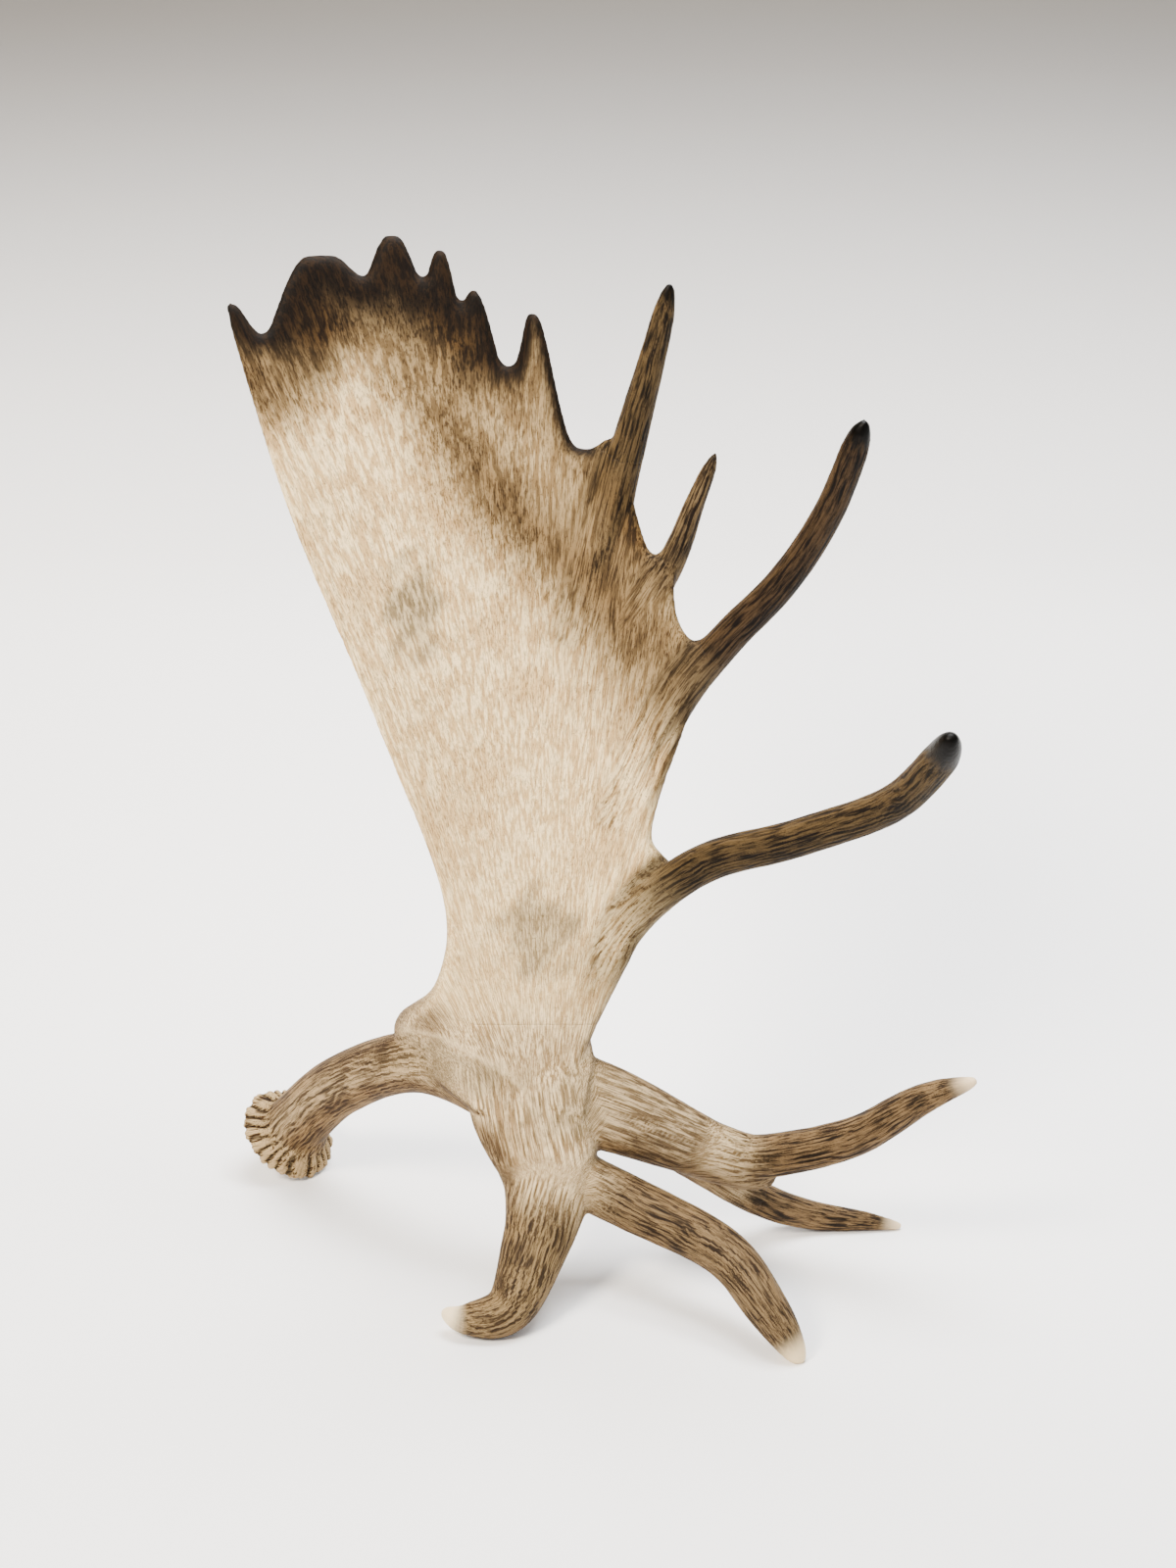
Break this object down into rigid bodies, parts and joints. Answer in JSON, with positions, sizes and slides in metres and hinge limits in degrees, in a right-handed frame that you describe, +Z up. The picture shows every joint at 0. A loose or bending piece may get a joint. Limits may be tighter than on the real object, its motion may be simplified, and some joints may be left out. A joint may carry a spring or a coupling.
{
  "type": "moose antler",
  "caption": "Shed bull-moose antler: burr and round beam, cupped main palm with short rim points and long tines, and a brow palm with hooked and forked tines.",
  "frame": {"origin": "middle of the footprint on the floor that the antler stands on", "axes": "+Z up; +X from the burr side towards the forked brow tine; -Y out of the palm's hollow front face"},
  "size_m": [0.6438, 0.4456, 0.8797],
  "materials": {
    "palm_bone": "weathered cream antler bone, brown grain streaks, satin",
    "brow_bone": "weathered cream and tan antler bone, low ridges, satin",
    "beam_bone": "ridged tan and brown antler bone, satin",
    "palm_tine_bone": "dark brown ridged antler bone with smooth near-black tips",
    "brow_tine_bone": "brown antler bone with cream ridges and worn ivory tips"
  },
  "bodies": {
    "root": {"beam": "beam_bone", "main_palm": "palm_bone", "palm_tine_top": "palm_tine_bone", "palm_tine_small": "palm_tine_bone", "palm_tine_middle": "palm_tine_bone", "palm_tine_low": "palm_tine_bone", "brow_palm": "brow_bone", "hook_tine": "brow_tine_bone", "front_tine": "brow_tine_bone", "fork_tine_upper": "brow_tine_bone", "fork_tine_lower": "brow_tine_bone"}
  },
  "joints": []
}
